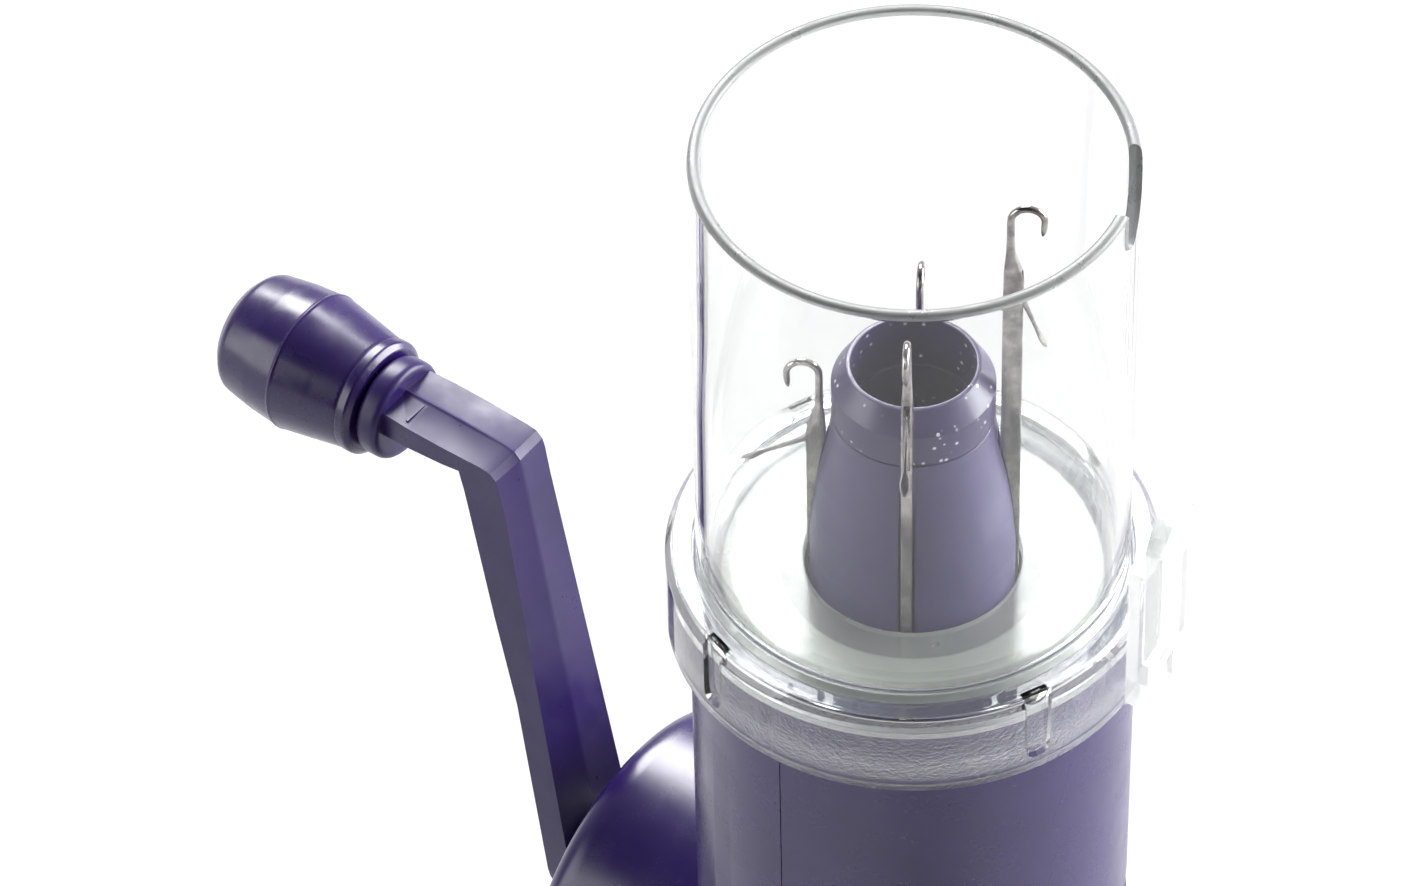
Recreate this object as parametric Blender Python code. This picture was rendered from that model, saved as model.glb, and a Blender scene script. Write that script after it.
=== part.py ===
"""Hand-cranked tubular cord knitter: four latch needles ride in a turning drum
inside a clear yarn tube, driven by a side crank through a pair of bevel gears.

Frame: metres, +Z up, the knitter stands on z = 0.  The crank shaft points
along -X.  The drum axis is x = AXIS_X, y = 0, so that the bounding box is
centred on x = y = 0.
"""
import math
import bmesh
import bpy
from mathutils import Matrix, Vector

MM = 0.001

# ---- driving dimensions, millimetres ---------------------------------------
HEIGHT = 200.0            # table to the rim of the clear tube
FIT = 0.3                 # gap left between two pieces that touch
SEGS = 32                 # sides of a large round piece

KNOB_END_T = 90.5         # crank side: distance of the knob's end from the drum axis
GUIDE_R = 30.2            # outer radius of the yarn guide's tab
GUIDE_AZ = 9.0            # its azimuth
TAB_HALF = 4.0            # half the tab's width
GUIDE_X = GUIDE_R * math.cos(math.radians(GUIDE_AZ)) + TAB_HALF * math.sin(math.radians(GUIDE_AZ))
AXIS_X = (KNOB_END_T - GUIDE_X) / 2

BODY_R_TOP, BODY_R_LOW, BODY_IN = 23.3, 22.9, 21.0
BODY_Z0, BODY_Z1 = 6.3, 142.3
LEDGE_Z0, LEDGE_Z1, LEDGE_R = 100.0, 102.2, 11.2

TUBE_R, TUBE_IN = 22.5, 21.16
FLANGE_R, FLANGE_Z0, FLANGE_Z1 = 24.3, 142.6, 143.9
FLOOR_Z, FLOOR_HOLE = 144.1, 11.3
COLLAR_R, COLLAR_Z0, COLLAR_Z1 = 25.7, 134.9, 145.4
POCKET_AZ = (-22.5, 67.5, 157.5, 247.5)

SHAFT_Z, SHAFT_R = 68.0, 3.0
NECK_R, NECK_IN, NECK_T = 21.8, 19.6, 38.0
NECK_EDGE = 3.5           # radius of the neck's rounded outer edge
COVER_R, COVER_SEAT = 17.6, 35.9
COVER_AZ, COVER_SCREW_R = (100.0, 220.0, 340.0), 14.4

PINION_TEETH, CROWN_TEETH = 14, 24
CONE_IN, CONE_OUT = 13.3, 20.7    # distances of the teeth's ends from the cones' apex
PITCH = math.atan(PINION_TEETH / CROWN_TEETH)

DRUM_R, DRUM_TIP_R, DRUM_BORE = 10.7, 8.3, 6.4
DRUM_TOP, NOSE_TOP = 165.1, 172.0
SLOT_W, SLOT_Z, SLOT_IN = 1.7, 105.6, 8.6

NEEDLE_AZ = (32.3, 122.3, 212.3, -57.7)
CAM_AZ = 5.0              # azimuth where the cam lifts a needle highest
CAM_1, CAM_2 = 12.54, 2.7  # first and second harmonic of the lift
HOOK_MEAN = 181.2         # mean height of a hook's top
BUTT_DROP, TAIL_DROP = 60.0, 64.0
CAM_IN, CAM_R, TRACK = 13.8, 20.6, 2.8
RIVET_R, RIVET_DROP = 10.4, 11.0
LATCH_L = 8.4
LATCH_REST = (160.0, 165.0, 118.0, 155.0)

KNOB_Z = 123.4            # crank throw 55.4 mm above the shaft


# ---- helpers -----------------------------------------------------------------
def lift(az):
    """Height of a needle above its mean, at azimuth az in degrees."""
    phi = math.radians(az - CAM_AZ)
    return CAM_1 * math.cos(phi) + CAM_2 * math.cos(2 * phi)


def material(name, rgb, rough, metal=0.0, clear=0.0):
    mat = bpy.data.materials.get(name) or bpy.data.materials.new(name)
    mat.use_nodes = True
    bsdf = mat.node_tree.nodes["Principled BSDF"]
    bsdf.inputs["Base Color"].default_value = (*rgb, 1.0)
    bsdf.inputs["Roughness"].default_value = rough
    bsdf.inputs["Metallic"].default_value = metal
    bsdf.inputs["Transmission Weight"].default_value = clear
    mat.diffuse_color = (*rgb, 1.0)
    return mat


VIOLET = ("violet_plastic", (0.050, 0.038, 0.135), 0.28)
CLEAR = ("clear_acrylic", (0.92, 0.95, 0.94), 0.05, 0.0, 1.0)
STEEL = ("nickel_steel", (0.62, 0.60, 0.57), 0.25, 1.0)
ZINC = ("zinc_screw", (0.55, 0.56, 0.58), 0.35, 1.0)
ACETAL = ("natural_acetal", (0.80, 0.80, 0.76), 0.45)


def make(name, bm, mat, origin=(0, 0, 0)):
    """Turn a bmesh in millimetres into an object whose origin is at origin."""
    bmesh.ops.remove_doubles(bm, verts=bm.verts, dist=1e-4)
    bmesh.ops.recalc_face_normals(bm, faces=bm.faces)
    shift = Matrix.Translation(-Vector(origin))
    bm.transform(Matrix.Scale(MM, 4) @ shift)
    mesh = bpy.data.meshes.new(name)
    bm.to_mesh(mesh)
    bm.free()
    obj = bpy.data.objects.new(name, mesh)
    obj.location = Vector(origin) * MM
    bpy.context.scene.collection.objects.link(obj)
    if mat:
        mesh.materials.append(material(*mat))
    return obj


def smooth(obj, degrees=32):
    obj.data.shade_smooth()
    obj.data.set_sharp_from_angle(angle=math.radians(degrees))
    return obj


def turned(profile, segs=SEGS, axis="Z", at=(AXIS_X, 0, 0)):
    """Spin a closed profile of (radius, height) once round the axis through at.

    For axis "T" the heights run outward along -X from the drum axis.
    """
    bm = bmesh.new()
    ring = [bm.verts.new((r, 0, h)) for r, h in profile]
    edges = [bm.edges.new((ring[i], ring[(i + 1) % len(ring)])) for i in range(len(ring))]
    bmesh.ops.spin(bm, geom=ring + edges, cent=(0, 0, 0), axis=(0, 0, 1),
                   angle=math.tau, steps=segs, use_merge=True)
    bmesh.ops.remove_doubles(bm, verts=bm.verts, dist=1e-4)
    if axis == "T":
        bm.transform(Matrix.Rotation(-math.pi / 2, 4, "Y"))
    bm.transform(Matrix.Translation(at))
    return bm


def rod(radius, h0, h1, segs=16, axis="Z", at=(AXIS_X, 0, 0)):
    return turned([(0, h0), (radius, h0), (radius, h1), (0, h1)], segs, axis, at)


def plate(outline, half, place=Matrix.Identity(4)):
    """Extrude an outline of (x, z) points to y = -half .. +half."""
    bm = bmesh.new()
    face = bm.faces.new([bm.verts.new((x, -half, z)) for x, z in outline])
    lifted = bmesh.ops.extrude_face_region(bm, geom=[face])["geom"]
    verts = [v for v in lifted if isinstance(v, bmesh.types.BMVert)]
    bmesh.ops.translate(bm, verts=verts, vec=(0, 2 * half, 0))
    bm.transform(place)
    return bm


def block(lo, hi):
    bm = bmesh.new()
    bmesh.ops.create_cube(bm, size=1.0)
    size = [b - a for a, b in zip(lo, hi)]
    mid = [(a + b) / 2 for a, b in zip(lo, hi)]
    bm.transform(Matrix.Translation(mid) @ Matrix.Diagonal((*size, 1.0)))
    return bm


def combine(obj, steps, solver="EXACT"):
    """Apply (operation, bmesh) steps to obj as Booleans."""
    tools = []
    for kind, bm in steps:
        tool = make("tool", bm, None)
        tool.display_type, tool.hide_render = "WIRE", True
        mod = obj.modifiers.new(kind.lower(), "BOOLEAN")
        mod.operation, mod.solver, mod.object = kind, solver, tool
        tools.append(tool)
    bpy.context.view_layer.update()
    graph = bpy.context.evaluated_depsgraph_get()
    mesh = bpy.data.meshes.new_from_object(obj.evaluated_get(graph))
    old, name = obj.data, obj.data.name
    obj.modifiers.clear()
    obj.data = mesh
    bpy.data.meshes.remove(old)
    mesh.name = name
    for tool in tools:
        data = tool.data
        bpy.data.objects.remove(tool)
        bpy.data.meshes.remove(data)
    return smooth(obj)


def round_at(az, radius=0.0, z=0.0):
    """Frame at azimuth az: local X points outward from the drum axis."""
    return (Matrix.Translation((AXIS_X, 0, 0)) @ Matrix.Rotation(math.radians(az), 4, "Z")
            @ Matrix.Translation((radius, 0, z)))


def arc(cx, cz, radius, a0, a1, n):
    """Points on an arc in the (x, z) plane, angles in degrees from +x."""
    step = (a1 - a0) / n
    return [(cx + radius * math.cos(math.radians(a0 + step * i)),
             cz + radius * math.sin(math.radians(a0 + step * i))) for i in range(n + 1)]


# ---- body ----------------------------------------------------------------------
SCREW_Y, SCREW_Z = 12.5, (20.0, 94.0)
HEAD_R, BOSS_R = 2.2, 3.2
HEAD_X = 15.4             # where the screw heads seat, measured from the split


def body_half(name, side):
    """Half of the body, split on the plane x = AXIS_X; side -1 carries the crank neck."""
    outer = turned([(0, BODY_Z0), (BODY_R_LOW - 0.4, BODY_Z0), (BODY_R_LOW, BODY_Z0 + 0.6),
                    (BODY_R_LOW + 0.1, 60), (BODY_R_TOP, 130), (BODY_R_TOP, BODY_Z1),
                    (0, BODY_Z1)])
    obj = make(name, outer, VIOLET)
    cavity = turned([(0, 0), (BODY_IN, 0), (BODY_IN, LEDGE_Z0), (LEDGE_R, LEDGE_Z0),
                     (LEDGE_R, LEDGE_Z1), (BODY_IN, LEDGE_Z1), (BODY_IN, 160), (0, 160)])
    steps = []
    axle = (AXIS_X, 0, SHAFT_Z)
    if side < 0:
        edge = NECK_R - NECK_EDGE
        neck = [(edge + NECK_EDGE * math.sin(math.radians(a)),
                 NECK_T - NECK_EDGE + NECK_EDGE * math.cos(math.radians(a)))
                for a in (90, 60, 30, 0)]
        neck = [(0, 6), (NECK_R, 6)] + neck + [(0, NECK_T)]
        steps.append(("UNION", turned(neck, SEGS, "T", axle)))
    steps.append(("DIFFERENCE", cavity))
    if side < 0:
        steps.append(("DIFFERENCE", rod(NECK_IN, 8, 33.0, SEGS, "T", axle)))
        steps.append(("DIFFERENCE", rod(11.0, 30, 37.0, 24, "T", axle)))
        steps.append(("DIFFERENCE", rod(COVER_R + FIT, COVER_SEAT, 45, SEGS, "T", axle)))
        for az in COVER_AZ:
            y, z = cover_point(az)
            steps.append(("DIFFERENCE", rod(1.3, 30, 40, 12, "T", (AXIS_X, y, z))))
    for y in (-SCREW_Y, SCREW_Y):
        for z in SCREW_Z:
            at = (AXIS_X, y, z)
            ends = (-1.0, 16.6) if side < 0 else (-16.6, 1.0)
            steps.append(("UNION", rod(BOSS_R, *ends, 12, "T", at)))
    for y in (-SCREW_Y, SCREW_Y):
        for z in SCREW_Z:
            at = (AXIS_X, y, z)
            if side < 0:
                steps.append(("DIFFERENCE", rod(1.3, -3, 10.5, 12, "T", at)))
            else:
                steps.append(("DIFFERENCE", rod(1.3, -20, 3, 12, "T", at)))
                steps.append(("DIFFERENCE", rod(HEAD_R + FIT, -30, -HEAD_X, 16, "T", at)))
    x0, x1 = (AXIS_X - 0.15, AXIS_X + 60) if side < 0 else (AXIS_X - 60, AXIS_X + 0.15)
    steps.append(("DIFFERENCE", block((x0, -40, -1), (x1, 40, 161))))
    return combine(obj, steps, "MANIFOLD")


def cover_point(az):
    a = math.radians(az)
    return COVER_SCREW_R * math.cos(a), SHAFT_Z + COVER_SCREW_R * math.sin(a)


def body():
    body_half("body_shell_crank_side", -1)
    body_half("body_shell_guide_side", 1)
    base = turned([(9.0, 0), (24.0, 0), (24.5, 0.7), (24.5, 5.3), (23.9, 6.0), (20.6, 6.0),
                   (20.6, 12.0), (18.2, 12.0), (17.4, 4.0), (10.5, 3.0), (9.0, 2.4)])
    smooth(make("base_cap", base, VIOLET))
    for i, (y, z) in enumerate((y, z) for y in (-SCREW_Y, SCREW_Y) for z in SCREW_Z):
        head = HEAD_X + FIT
        screw = turned([(0, -head - 1.5), (HEAD_R - 0.6, -head - 1.5), (HEAD_R, -head - 0.8),
                        (HEAD_R, -head), (1.0, -head), (1.0, 8.5), (0.5, 9.6), (0, 9.6)],
                       16, "T", (AXIS_X, y, z))
        cross = [("DIFFERENCE", block((AXIS_X + head + 0.8, y - a, z - b),
                                      (AXIS_X + head + 3, y + a, z + b)))
                 for a, b in ((1.3, 0.3), (0.3, 1.3))]
        combine(make(f"body_screw_{i + 1}", screw, ZINC), cross)


def housing_cover():
    """Round plate let into the neck's end, with three countersunk screws."""
    seat, head = COVER_SEAT + FIT, NECK_T - 1.2
    profile = [(4.9, seat), (COVER_R, seat), (COVER_R, NECK_T - 0.3), (COVER_R - 0.3, NECK_T),
               (8.2, NECK_T), (7.8, NECK_T - 0.4), (4.9, NECK_T - 0.4)]
    obj = make("gear_housing_cover", turned(profile, SEGS, "T", (AXIS_X, 0, SHAFT_Z)), VIOLET)
    spots = [(AXIS_X, *cover_point(az)) for az in COVER_AZ]
    combine(obj, [("DIFFERENCE", rod(1.3, 20, 50, 12, "T", at)) for at in spots]
            + [("DIFFERENCE", rod(HEAD_R + FIT, head - FIT, 50, 16, "T", at)) for at in spots],
            "MANIFOLD")
    for i, at in enumerate(spots):
        screw = turned([(0, 30.6), (0.5, 30.6), (1.0, 31.6), (1.0, head), (HEAD_R, head),
                        (HEAD_R, head + 0.6), (HEAD_R - 0.6, head + 1.1), (0, head + 1.1)],
                       16, "T", at)
        cross = [("DIFFERENCE", block((AXIS_X - head - 3, at[1] - a, at[2] - b),
                                      (AXIS_X - head - 0.6, at[1] + a, at[2] + b)))
                 for a, b in ((1.3, 0.3), (0.3, 1.3))]
        combine(make(f"cover_screw_{i + 1}", screw, ZINC), cross)


# ---- cam, drum and gears ----------------------------------------------------------
def cam_ring(name, top):
    """One half of the cam: a ring whose edge follows the needles' lift."""
    bm = bmesh.new()
    sides = 48
    rings = []
    for i in range(sides):
        az = 360 * i / sides
        butt = HOOK_MEAN - BUTT_DROP + lift(az)
        near, far = (butt + TRACK, 142.1) if top else (LEDGE_Z1 + FIT, butt - TRACK)
        c, s = math.cos(math.radians(az)), math.sin(math.radians(az))
        rings.append([bm.verts.new((AXIS_X + r * c, r * s, z))
                      for r, z in ((CAM_IN, near), (CAM_R, near), (CAM_R, far), (CAM_IN, far))])
    for i in range(sides):
        a, b = rings[i], rings[(i + 1) % sides]
        for k in range(4):
            bm.faces.new((a[k], b[k], b[(k + 1) % 4], a[(k + 1) % 4]))
    return smooth(make(name, bm, ACETAL))


def drum():
    """Needle drum: a hollow post with four slots, a thrust collar and a gear stem."""
    cone = [(DRUM_TIP_R, DRUM_TOP), (8.9, 161.4), (9.7, 157.0), (10.3, 152.6), (DRUM_R, 147.5)]
    profile = [(DRUM_BORE, 77.2), (8.6, 77.2), (8.6, 103.4), (13.4, 103.4), (13.4, 105.0),
               (DRUM_R, 105.2)] + cone[::-1] + [(DRUM_BORE, DRUM_TOP)]
    obj = make("needle_drum", turned(profile), VIOLET, (AXIS_X, 0, LEDGE_Z1))
    steps = []
    for az in NEEDLE_AZ:
        slot = block((SLOT_IN, -SLOT_W / 2, SLOT_Z), (14.0, SLOT_W / 2, DRUM_TOP + 2))
        slot.transform(round_at(az))
        steps.append(("DIFFERENCE", slot))
    combine(obj, steps)
    nose = turned([(DRUM_BORE, DRUM_TOP + FIT), (DRUM_TIP_R, DRUM_TOP + FIT),
                   (DRUM_TIP_R, 169.4), (8.0, 170.1), (6.9, 171.8), (DRUM_BORE, NOSE_TOP)])
    smooth(make("drum_nose", nose, VIOLET, (AXIS_X, 0, DRUM_TOP)))
    washer = turned([(9.0, 102.5), (13.2, 102.5), (13.2, 103.1), (9.0, 103.1)], 24)
    smooth(make("thrust_washer", washer, ACETAL, (AXIS_X, 0, 102.5)))
    clip = turned([(8.9, 98.4), (12.6, 98.4), (12.6, 99.6), (8.9, 99.6)], 24)
    smooth(make("drum_clip", clip, ZINC, (AXIS_X, 0, 98.4)))


def bevel_gear(name, teeth, half_angle, bore, front, back, turn, place, mat):
    """Straight bevel gear round local +Z, its cone's apex at the local origin.

    back lists (radius, height) points from the teeth's outer ends to the bore.
    """
    width, add, ded = 0.34, 0.85, 1.25
    bm = bmesh.new()
    rings = [[] for _ in range(2 + len(back) + 1)]
    for i in range(teeth):
        for frac, rise in ((-width / 2, -ded), (-0.3 * width, add),
                           (0.3 * width, add), (width / 2, -ded)):
            a = math.tau * (i + frac + turn) / teeth
            c, s = math.cos(a), math.sin(a)
            cone = half_angle + rise / CONE_OUT
            spots = [(d * math.sin(cone), d * math.cos(cone)) for d in (CONE_IN, CONE_OUT)]
            for ring, (r, h) in zip(rings, spots + back + [(bore, front)]):
                ring.append(bm.verts.new((r * c, r * s, h)))
    count = len(rings[0])
    for k in range(len(rings)):
        a, b = rings[k], rings[(k + 1) % len(rings)]
        for i in range(count):
            j = (i + 1) % count
            bm.faces.new((a[i], a[j], b[j], b[i]))
    bm.transform(place)
    origin = place.translation
    return smooth(make(name, bm, mat, origin), 20)


def drive():
    apex = Matrix.Translation((AXIS_X, 0, SHAFT_Z))
    bevel_gear("crown_gear", CROWN_TEETH, math.pi / 2 - PITCH, 8.9, 8.6,
               [(18.2, 13.4), (10.5, 20.0), (8.9, 20.0)], 0.5,
               apex, ACETAL)
    outward = apex @ Matrix.Rotation(-math.pi / 2, 4, "Y")
    bevel_gear("drive_pinion", PINION_TEETH, PITCH, 3.3, 12.0,
               [(8.5, 19.6), (3.3, 19.8)], 0.0, outward, ACETAL)
    at = (AXIS_X, 0, SHAFT_Z)
    shaft = turned([(0, 9.6), (2.5, 9.6), (SHAFT_R, 10.1), (SHAFT_R, 44.5), (1.6, 44.5),
                    (1.6, 38.0), (0, 38.0)], 24, "T", at)
    smooth(make("crank_shaft", shaft, STEEL, at))
    wall = turned([(3.4, 20.1), (19.2, 20.1), (19.2, 22.2), (3.4, 22.2)], SEGS, "T", at)
    smooth(make("bearing_plate", wall, ZINC, at))
    bush = turned([(3.3, 33.6), (4.6, 33.6), (4.6, 38.0), (6.6, 38.0), (6.6, 39.4), (3.3, 39.4)],
                  24, "T", at)
    smooth(make("shaft_bush", bush, ACETAL, at))
    ring = turned([(3.3, 32.0), (5.4, 32.0), (5.4, 33.0), (3.3, 33.0)], 24, "T", at)
    smooth(make("shaft_clip", ring, ZINC, at))


# ---- crank -------------------------------------------------------------------------
ARM_END = 5.65            # radius of the arm's lower end, round the shaft
ARM_NARROW = 0.0305       # narrowing of its half width, mm per mm of height


def arm_mesh():
    """Cranked arm: a strip of rectangles, each an outer and an inner point and a half width.

    Points are (distance out from the drum axis, height).  The long leg leans
    outward as it rises; past the elbow the strip runs level to the knob.
    """
    bands = []
    for a in (15, 40, 65):
        z = SHAFT_Z - ARM_END * math.cos(math.radians(a))
        bands.append(((46.36 + 0.166 * (z - SHAFT_Z), z), (42.87 + 0.164 * (z - SHAFT_Z), z),
                      ARM_END * math.sin(math.radians(a))))
    for z, outer in ((SHAFT_Z, 46.36), (92.0, 50.34), (104.0, 53.27), (120.0, 56.83)):
        bands.append(((outer, z), (42.87 + 0.164 * (z - SHAFT_Z), z),
                      ARM_END - ARM_NARROW * (z - SHAFT_Z)))
    under = (57.7, 123.9)
    bands += [(under, (52.2, 124.3), 4.1), (under, (52.6, 125.6), 4.1),
              (under, (53.7, 126.3), 4.1), ((60.0, 123.75), (60.0, 126.4), 4.25),
              ((69.2, 123.1), (69.2, 126.6), 4.0)]
    bm = bmesh.new()
    rings = []
    for (t0, z0), (t1, z1), half in bands:
        corners = ((t0, -half, z0), (t0, half, z0), (t1, half, z1), (t1, -half, z1))
        rings.append([bm.verts.new((AXIS_X - t, y, z)) for t, y, z in corners])
    for a, b in zip(rings, rings[1:]):
        for k in range(4):
            bm.faces.new((a[k], a[(k + 1) % 4], b[(k + 1) % 4], b[k]))
    bm.faces.new(rings[0][::-1])
    bm.faces.new(rings[-1])
    bmesh.ops.remove_doubles(bm, verts=bm.verts, dist=1e-4)
    return bm


def crank():
    at, high = (AXIS_X, 0, SHAFT_Z), (AXIS_X, 0, KNOB_Z)
    obj = make("crank_arm", arm_mesh(), VIOLET, at)
    hub = turned([(0, 40.6), (4.8, 40.6), (5.3, 41.1), (5.3, 44.9), (0, 44.9)], 24, "T", at)
    boss = turned([(0, 68.0), (5.2, 68.0), (5.8, 68.6), (5.8, 70.4), (5.4, 70.9), (0, 70.9)],
                  28, "T", high)
    combine(obj, [("UNION", hub), ("UNION", boss),
                  ("DIFFERENCE", rod(SHAFT_R + FIT, 30, 60, 24, "T", at)),
                  ("DIFFERENCE", rod(4.3, 44.5, 60, 24, "T", at)),
                  ("DIFFERENCE", rod(2.2, 68.4, 80, 24, "T", high))])
    screw = turned([(0, 38.6), (1.2, 38.6), (1.2, 44.8), (4.0, 44.8), (4.0, 45.8), (3.3, 46.6),
                    (0, 46.6)], 24, "T", at)
    slots = [("DIFFERENCE", block((AXIS_X - 50, -a, SHAFT_Z - b), (AXIS_X - 45.8, a, SHAFT_Z + b)))
             for a, b in ((2.2, 0.45), (0.45, 2.2))]
    combine(make("crank_screw", screw, ZINC, at), slots)
    axle = turned([(0, 68.7), (1.5, 68.7), (1.9, 69.1), (1.9, 84.6), (1.4, 85.2), (0, 85.2)],
                  24, "T", high)
    smooth(make("knob_axle", axle, STEEL, high))
    profile = [(2.2, 71.2), (6.2, 71.2), (6.75, 71.8), (6.8, 73.2), (7.5, 77.2), (8.15, 81.2),
               (7.7, 85.2), (7.15, 88.4), (6.2, 89.8), (4.2, KNOB_END_T), (0, KNOB_END_T),
               (0, 86.0), (2.2, 85.6)]
    smooth(make("knob", turned(profile, 28, "T", high), VIOLET, high), 40)


# ---- clear tube, collar and yarn guide ----------------------------------------------
def clear_parts():
    rim = [(TUBE_IN + 0.67 - 0.67 * math.cos(math.radians(a)),
            HEIGHT - 0.67 + 0.67 * math.sin(math.radians(a))) for a in (0, 45, 90, 135, 180)]
    tube = turned([(FLOOR_HOLE, FLANGE_Z0), (FLANGE_R, FLANGE_Z0), (FLANGE_R, FLANGE_Z1),
                   (TUBE_R, FLANGE_Z1)] + rim[::-1]
                  + [(TUBE_IN, 147.0), (20.6, 145.2), (19.4, FLOOR_Z + 0.2), (18.4, FLOOR_Z),
                     (FLOOR_HOLE, FLOOR_Z)], 44)
    obj = make("clear_tube", tube, CLEAR)
    lip = HEIGHT - 6.0
    notch = [(-4.4, HEIGHT + 3), (-4.3, HEIGHT - 0.5), (-4.0, lip + 1.4), (-3.3, lip + 0.3),
             (-2.4, lip), (-1.6, lip + 0.3), (5.9, HEIGHT), (9.0, HEIGHT + 3)]
    side = round_at(25.0) @ Matrix.Rotation(math.pi / 2, 4, "Z")
    combine(obj, [("DIFFERENCE", plate(notch, 4, side @ Matrix.Translation((0, -22, 0))))])
    ring = turned([(23.6, COLLAR_Z0 + 0.4), (24.0, COLLAR_Z0), (25.4, COLLAR_Z0),
                   (COLLAR_R, COLLAR_Z0 + 0.4), (COLLAR_R, 144.6), (25.0, COLLAR_Z1),
                   (22.9, COLLAR_Z1), (22.9, FLANGE_Z1 + FIT), (24.6, FLANGE_Z1 + FIT),
                   (24.6, BODY_Z1), (23.6, BODY_Z1)], 44)
    collar = make("clear_collar", ring, CLEAR)
    pockets = []
    for az in POCKET_AZ:
        pocket = block((24.7, -2.7, 137.6), (27, 2.7, 143.4))
        pocket.transform(round_at(az))
        pockets.append(("DIFFERENCE", pocket))
    combine(collar, pockets)
    bracket = block((26.0, -3.0, 136.3), (28.5, 3.0, 155.8))
    bracket.transform(round_at(GUIDE_AZ))
    guide = make("yarn_guide", bracket, CLEAR)
    tab = [(-TAB_HALF, 144.2), (TAB_HALF, 144.2)] + arc(0, 159.6, TAB_HALF, 0, 180, 10)
    side = round_at(GUIDE_AZ) @ Matrix.Rotation(math.pi / 2, 4, "Z")
    eye = round_at(GUIDE_AZ, 0, 159.4) @ Matrix.Rotation(math.pi / 2, 4, "Y")
    hole = turned([(0, 25), (1.5, 25), (1.5, 33), (0, 33)], 16, "Z", (0, 0, 0))
    hole.transform(eye)
    combine(guide, [("UNION", plate(tab, 1.0, side @ Matrix.Translation((0, -GUIDE_R + 1.0, 0)))),
                    ("DIFFERENCE", hole)])


# ---- needles -------------------------------------------------------------------------
def needle_mesh():
    """Latch needle: hook at the top, butt near the tail; local z = 0 at the hook's top."""
    wire, mid = 0.8, 11.3                      # hook: wire size and centre radius
    bend = 2.1                                 # outer radius of the hook's bend
    outer = arc(mid, -bend, bend, 180, 0, 10)
    inner = arc(mid, -bend, bend - wire, 0, 180, 8)
    tip = [(mid + bend - 0.05, -3.6), (mid + bend - 0.35, -4.0), (mid + bend - wire, -3.7)]
    drop, butt = -RIVET_DROP, -BUTT_DROP
    front = [(10.0, -6.2), (10.9, drop + 1.6), (11.0, drop - 0.4), (11.0, butt + 2.0),
             (13.5, butt + 2.0), (13.5, butt - 2.0), (11.0, butt - 2.0), (10.8, -TAIL_DROP)]
    back = [(9.1, -TAIL_DROP), (8.9, -TAIL_DROP + 0.6), (8.9, drop + 0.4), (9.2, -7.6)]
    obj = make("needle_blank", plate(outer + tip + inner + front + back, 0.6), STEEL)
    slot = block((9.7, -0.35, drop - 7.0), (12, 0.35, drop + 1.5))
    pin = rod(0.38, -2, 2, 8, "Z", (0, 0, 0))
    pin.transform(Matrix.Translation((RIVET_R, 0, drop)) @ Matrix.Rotation(math.pi / 2, 4, "X"))
    combine(obj, [("DIFFERENCE", slot), ("DIFFERENCE", pin)])
    mesh = obj.data
    bpy.data.objects.remove(obj)
    return mesh


def latch_mesh():
    """Latch along local +Z from its rivet at the origin, with a spoon at its end."""
    eye = arc(0, 0, 0.62, 150, 390, 8)
    arm = [(0.28, 1.2), (0.22, LATCH_L - 2.6), (0.22, LATCH_L - 0.4), (0.0, LATCH_L),
           (-0.22, LATCH_L - 0.4), (-0.22, LATCH_L - 2.6), (-0.28, 1.2)]
    obj = make("latch_blank", plate(eye + arm, 0.2), STEEL)
    spoon = bmesh.new()
    bmesh.ops.create_uvsphere(spoon, u_segments=8, v_segments=4, radius=1.0)
    spoon.transform(Matrix.Translation((0.06, 0, LATCH_L - 1.3)) @ Matrix.Diagonal((0.3, 0.55, 1.3, 1)))
    pin = rod(0.38, -2, 2, 8, "Z", (0, 0, 0))
    pin.transform(Matrix.Rotation(math.pi / 2, 4, "X"))
    combine(obj, [("UNION", spoon), ("DIFFERENCE", pin)])
    mesh = obj.data
    bpy.data.objects.remove(obj)
    return mesh


def needles():
    blade, latch = needle_mesh(), latch_mesh()
    rivet = rod(0.25, -0.55, 0.55, 8, "Z", (0, 0, 0))
    rivet.transform(Matrix.Rotation(math.pi / 2, 4, "X"))
    first = smooth(make("rivet_blank", rivet, STEEL))
    pin = first.data
    bpy.data.objects.remove(first)
    for i, az in enumerate(NEEDLE_AZ):
        spoke = bpy.data.objects.new(f"spoke_{i + 1}", None)
        spoke.location = (AXIS_X * MM, 0, 0)
        spoke.rotation_euler[2] = math.radians(az)
        top = HOOK_MEAN + lift(az)
        places = (("needle", blade, spoke, (0, 0, top)),
                  ("latch", latch, None, (RIVET_R, 0, -RIVET_DROP)),
                  ("latch_rivet", pin, None, (RIVET_R, 0, -RIVET_DROP)))
        bpy.context.scene.collection.objects.link(spoke)
        for kind, mesh, parent, where in places:
            obj = bpy.data.objects.new(f"{kind}_{i + 1}", mesh)
            bpy.context.scene.collection.objects.link(obj)
            obj.parent = parent or blade_obj
            obj.location = Vector(where) * MM
            if kind == "needle":
                blade_obj = obj
            if kind == "latch":
                obj.rotation_euler[1] = math.radians(LATCH_REST[i])


def build():
    for obj in list(bpy.data.objects):
        bpy.data.objects.remove(obj)
    body()
    housing_cover()
    cam_ring("cam_ring_lower", False)
    cam_ring("cam_ring_upper", True)
    drum()
    drive()
    crank()
    clear_parts()
    needles()
    bpy.context.view_layer.update()


build()
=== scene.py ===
"""Surfaces, light and camera for the hand-cranked cord knitter."""
import math
import bmesh
import bpy
from mathutils import Matrix, Vector


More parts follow.
